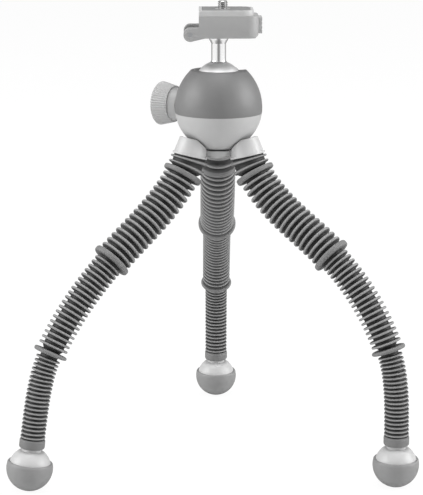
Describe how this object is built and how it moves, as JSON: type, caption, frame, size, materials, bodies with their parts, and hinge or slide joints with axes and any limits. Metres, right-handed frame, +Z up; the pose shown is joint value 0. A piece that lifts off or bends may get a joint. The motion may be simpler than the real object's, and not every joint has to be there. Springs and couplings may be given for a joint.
{
  "type": "flexible leg tripod",
  "caption": "Tripod with bendable ribbed rubber legs on ball feet, a ball head with a lock knob and drop notch, and a quick release plate with a camera screw.",
  "frame": {"origin": "on the floor under the ball head's axis", "axes": "+Z up along the head's axis and the camera screw, front at -Y with a leg on each side of it, third leg towards +Y"},
  "size_m": [0.2605, 0.2324, 0.3008],
  "materials": {
    "collar_plastic": "fine satin moulded plastic",
    "lower_plastic": "satin moulded plastic",
    "upper_plastic": "satin moulded plastic",
    "cup_plastic": "smooth slippery plastic",
    "polished_chrome": "polished chrome plate",
    "knob_plastic": "satin moulded plastic",
    "zinc_steel": "zinc plated steel",
    "bush_brass": "turned brass",
    "clamp_plastic": "satin moulded plastic",
    "lever_plastic": "satin moulded plastic",
    "button_plastic": "satin moulded plastic",
    "plate_plastic": "satin moulded plastic",
    "pad_rubber": "matt rubber",
    "screw_steel": "plated steel",
    "core_wire": "drawn wire",
    "sleeve_rubber": "matt moulded rubber",
    "boot_rubber": "matt moulded rubber"
  },
  "bodies": {
    "base": {"leg_hub": "collar_plastic", "hub_screw": "zinc_steel", "lower_shell": "lower_plastic", "upper_shell": "upper_plastic", "lock_bush": "bush_brass", "left_core": "core_wire", "right_core": "core_wire", "back_core": "core_wire"},
    "seat": {"ball_seat": "cup_plastic"},
    "ball": {"ball_stem": "polished_chrome"},
    "clamp": {"clamp_body": "clamp_plastic", "clamp_bolt": "zinc_steel", "lever_pin": "zinc_steel", "button_spring": "zinc_steel"},
    "lever": {"lock_lever": "lever_plastic"},
    "button": {"release_button": "button_plastic"},
    "plate": {"camera_plate": "plate_plastic", "plate_pad": "pad_rubber"},
    "cam_screw": {"camera_screw": "screw_steel"},
    "plunger": {"lock_plunger": "cup_plastic"},
    "knob": {"lock_knob": "knob_plastic", "lock_stud": "zinc_steel"},
    "left_1": {"left_sleeve_1": "sleeve_rubber"},
    "left_2": {"left_sleeve_2": "sleeve_rubber"},
    "left_3": {"left_sleeve_3": "sleeve_rubber"},
    "left_4": {"left_sleeve_4": "sleeve_rubber"},
    "left_5": {"left_sleeve_5": "sleeve_rubber"},
    "left_6": {"left_sleeve_6": "sleeve_rubber"},
    "left_7": {"left_sleeve_7": "sleeve_rubber"},
    "left_8": {"left_sleeve_8": "sleeve_rubber"},
    "left_9": {"left_sleeve_9": "sleeve_rubber"},
    "left_10": {"left_sleeve_10": "sleeve_rubber", "left_foot_cap": "collar_plastic", "left_foot_boot": "boot_rubber"},
    "right_1": {"right_sleeve_1": "sleeve_rubber"},
    "right_2": {"right_sleeve_2": "sleeve_rubber"},
    "right_3": {"right_sleeve_3": "sleeve_rubber"},
    "right_4": {"right_sleeve_4": "sleeve_rubber"},
    "right_5": {"right_sleeve_5": "sleeve_rubber"},
    "right_6": {"right_sleeve_6": "sleeve_rubber"},
    "right_7": {"right_sleeve_7": "sleeve_rubber"},
    "right_8": {"right_sleeve_8": "sleeve_rubber"},
    "right_9": {"right_sleeve_9": "sleeve_rubber"},
    "right_10": {"right_sleeve_10": "sleeve_rubber", "right_foot_cap": "collar_plastic", "right_foot_boot": "boot_rubber"},
    "back_1": {"back_sleeve_1": "sleeve_rubber"},
    "back_2": {"back_sleeve_2": "sleeve_rubber"},
    "back_3": {"back_sleeve_3": "sleeve_rubber"},
    "back_4": {"back_sleeve_4": "sleeve_rubber"},
    "back_5": {"back_sleeve_5": "sleeve_rubber"},
    "back_6": {"back_sleeve_6": "sleeve_rubber"},
    "back_7": {"back_sleeve_7": "sleeve_rubber"},
    "back_8": {"back_sleeve_8": "sleeve_rubber"},
    "back_9": {"back_sleeve_9": "sleeve_rubber"},
    "back_10": {"back_sleeve_10": "sleeve_rubber", "back_foot_cap": "collar_plastic", "back_foot_boot": "boot_rubber"}
  },
  "joints": [
    {"name": "head_side_tilt", "type": "hinge", "parent": "base", "child": "seat", "pos_m": [0, 0, 0.2467], "axis": [0.866, 0.5, 0], "range_deg": [-18, 18]},
    {"name": "head_tilt", "type": "hinge", "parent": "seat", "child": "ball", "pos_m": [0, 0, 0.2467], "axis": [-0.5, 0.866, 0], "range_deg": [-18, 90]},
    {"name": "head_pan", "type": "hinge", "parent": "ball", "child": "clamp", "pos_m": [0, 0, 0.2467], "axis": [0, 0, 1], "continuous": true},
    {"name": "lever_swing", "type": "hinge", "parent": "clamp", "child": "lever", "pos_m": [-0.018, 0, 0.2806], "axis": [0, 1, 0], "range_deg": [0, 90]},
    {"name": "button_press", "type": "slide", "parent": "clamp", "child": "button", "axis": [-1, 0, 0], "range_m": [0, 0.0018], "stiffness_N_per_m": 600, "springref_m": -0.002, "deforming": ["button_spring"]},
    {"name": "plate_slide", "type": "slide", "parent": "clamp", "child": "plate", "axis": [-1, 0, 0], "range_m": [0, 0.045]},
    {"name": "camera_screw_turn", "type": "hinge", "parent": "plate", "child": "cam_screw", "pos_m": [0.0026, 0, 0.2958], "axis": [0, 0, 1], "continuous": true},
    {"name": "plunger_slide", "type": "slide", "parent": "base", "child": "plunger", "axis": [0.866, -0.5, 0], "range_m": [0, 0.00051]},
    {"name": "knob_turn", "type": "hinge", "parent": "base", "child": "knob", "pos_m": [0, 0, 0.2327], "axis": [0.866, -0.5, 0], "range_deg": [0, 180]},
    {"name": "left_sway", "type": "hinge", "parent": "base", "child": "left_1", "pos_m": [-0.01853, -0.0107, 0.203], "axis": [-0.8365, -0.483, 0.2588], "range_deg": [-4, 4]},
    {"name": "left_upper_1", "type": "hinge", "parent": "left_1", "child": "left_2", "pos_m": [-0.02187, -0.01263, 0.19403], "axis": [-0.5, 0.866, 0], "range_deg": [-10, 5], "deforming": ["left_core"]},
    {"name": "left_upper_2", "type": "hinge", "parent": "left_2", "child": "left_3", "pos_m": [-0.03355, -0.01937, 0.17645], "axis": [-0.5, 0.866, 0], "range_deg": [-10, 5]},
    {"name": "left_upper_3", "type": "hinge", "parent": "left_3", "child": "left_4", "pos_m": [-0.04402, -0.02541, 0.16478], "axis": [-0.5, 0.866, 0], "range_deg": [-10, 5]},
    {"name": "left_upper_4", "type": "hinge", "parent": "left_4", "child": "left_5", "pos_m": [-0.05508, -0.0318, 0.15387], "axis": [-0.5, 0.866, 0], "range_deg": [-10, 5]},
    {"name": "left_middle_1", "type": "hinge", "parent": "left_5", "child": "left_6", "pos_m": [-0.06614, -0.03819, 0.14296], "axis": [0.5, -0.866, 0], "range_deg": [-9, 8]},
    {"name": "left_middle_2", "type": "hinge", "parent": "left_6", "child": "left_7", "pos_m": [-0.08788, -0.05074, 0.1172], "axis": [0.5, -0.866, 0], "range_deg": [-9, 8]},
    {"name": "left_lower_1", "type": "hinge", "parent": "left_7", "child": "left_8", "pos_m": [-0.10464, -0.06041, 0.0893], "axis": [0.5, -0.866, 0], "range_deg": [-7.5, 6]},
    {"name": "left_lower_2", "type": "hinge", "parent": "left_8", "child": "left_9", "pos_m": [-0.1116, -0.06443, 0.06964], "axis": [0.5, -0.866, 0], "range_deg": [-7.5, 6]},
    {"name": "left_lower_3", "type": "hinge", "parent": "left_9", "child": "left_10", "pos_m": [-0.11501, -0.0664, 0.05152], "axis": [0.5, -0.866, 0], "range_deg": [-7.5, 6]},
    {"name": "right_sway", "type": "hinge", "parent": "base", "child": "right_1", "pos_m": [0.01853, -0.0107, 0.203], "axis": [0.8371, -0.4833, 0.2561], "range_deg": [-4, 4]},
    {"name": "right_upper_1", "type": "hinge", "parent": "right_1", "child": "right_2", "pos_m": [0.02192, -0.01265, 0.19405], "axis": [-0.5, -0.866, 0], "range_deg": [-10, 5], "deforming": ["right_core"]},
    {"name": "right_upper_2", "type": "hinge", "parent": "right_2", "child": "right_3", "pos_m": [0.03407, -0.01967, 0.17693], "axis": [-0.5, -0.866, 0], "range_deg": [-10, 5]},
    {"name": "right_upper_3", "type": "hinge", "parent": "right_3", "child": "right_4", "pos_m": [0.04519, -0.02609, 0.1661], "axis": [-0.5, -0.866, 0], "range_deg": [-10, 5]},
    {"name": "right_upper_4", "type": "hinge", "parent": "right_4", "child": "right_5", "pos_m": [0.05701, -0.03291, 0.15631], "axis": [-0.5, -0.866, 0], "range_deg": [-10, 5]},
    {"name": "right_middle_1", "type": "hinge", "parent": "right_5", "child": "right_6", "pos_m": [0.0686, -0.03961, 0.14616], "axis": [0.5, 0.866, 0], "range_deg": [-9, 8]},
    {"name": "right_middle_2", "type": "hinge", "parent": "right_6", "child": "right_7", "pos_m": [0.09004, -0.05199, 0.12015], "axis": [0.5, 0.866, 0], "range_deg": [-9, 8]},
    {"name": "right_lower_1", "type": "hinge", "parent": "right_7", "child": "right_8", "pos_m": [0.10477, -0.06049, 0.0908], "axis": [0.5, 0.866, 0], "range_deg": [-7.5, 6]},
    {"name": "right_lower_2", "type": "hinge", "parent": "right_8", "child": "right_9", "pos_m": [0.10979, -0.06339, 0.07036], "axis": [0.5, 0.866, 0], "range_deg": [-7.5, 6]},
    {"name": "right_lower_3", "type": "hinge", "parent": "right_9", "child": "right_10", "pos_m": [0.11122, -0.06421, 0.0519], "axis": [0.5, 0.866, 0], "range_deg": [-7.5, 6]},
    {"name": "back_sway", "type": "hinge", "parent": "base", "child": "back_1", "pos_m": [0, 0.0214, 0.203], "axis": [0, 0.964, 0.2658], "range_deg": [-4, 4]},
    {"name": "back_upper_1", "type": "hinge", "parent": "back_1", "child": "back_2", "pos_m": [0, 0.02517, 0.19398], "axis": [1, 0, 0], "range_deg": [-10, 5], "deforming": ["back_core"]},
    {"name": "back_upper_2", "type": "hinge", "parent": "back_2", "child": "back_3", "pos_m": [0, 0.03809, 0.17598], "axis": [1, 0, 0], "range_deg": [-10, 5]},
    {"name": "back_upper_3", "type": "hinge", "parent": "back_3", "child": "back_4", "pos_m": [0, 0.04984, 0.16398], "axis": [1, 0, 0], "range_deg": [-10, 5]},
    {"name": "back_upper_4", "type": "hinge", "parent": "back_4", "child": "back_5", "pos_m": [0, 0.0626, 0.15305], "axis": [1, 0, 0], "range_deg": [-10, 5]},
    {"name": "back_middle_1", "type": "hinge", "parent": "back_5", "child": "back_6", "pos_m": [0, 0.07564, 0.14246], "axis": [-1, 0, 0], "range_deg": [-9, 8]},
    {"name": "back_middle_2", "type": "hinge", "parent": "back_6", "child": "back_7", "pos_m": [0, 0.10158, 0.11755], "axis": [-1, 0, 0], "range_deg": [-9, 8]},
    {"name": "back_lower_1", "type": "hinge", "parent": "back_7", "child": "back_8", "pos_m": [0, 0.12137, 0.08998], "axis": [-1, 0, 0], "range_deg": [-7.5, 6]},
    {"name": "back_lower_2", "type": "hinge", "parent": "back_8", "child": "back_9", "pos_m": [0, 0.12894, 0.07016], "axis": [-1, 0, 0], "range_deg": [-7.5, 6]},
    {"name": "back_lower_3", "type": "hinge", "parent": "back_9", "child": "back_10", "pos_m": [0, 0.13174, 0.05184], "axis": [-1, 0, 0], "range_deg": [-7.5, 6]}
  ],
  "couplings": [
    {"joint": "plunger_slide", "follows": "knob_turn", "m_per_rad": 0.00015915}
  ]
}
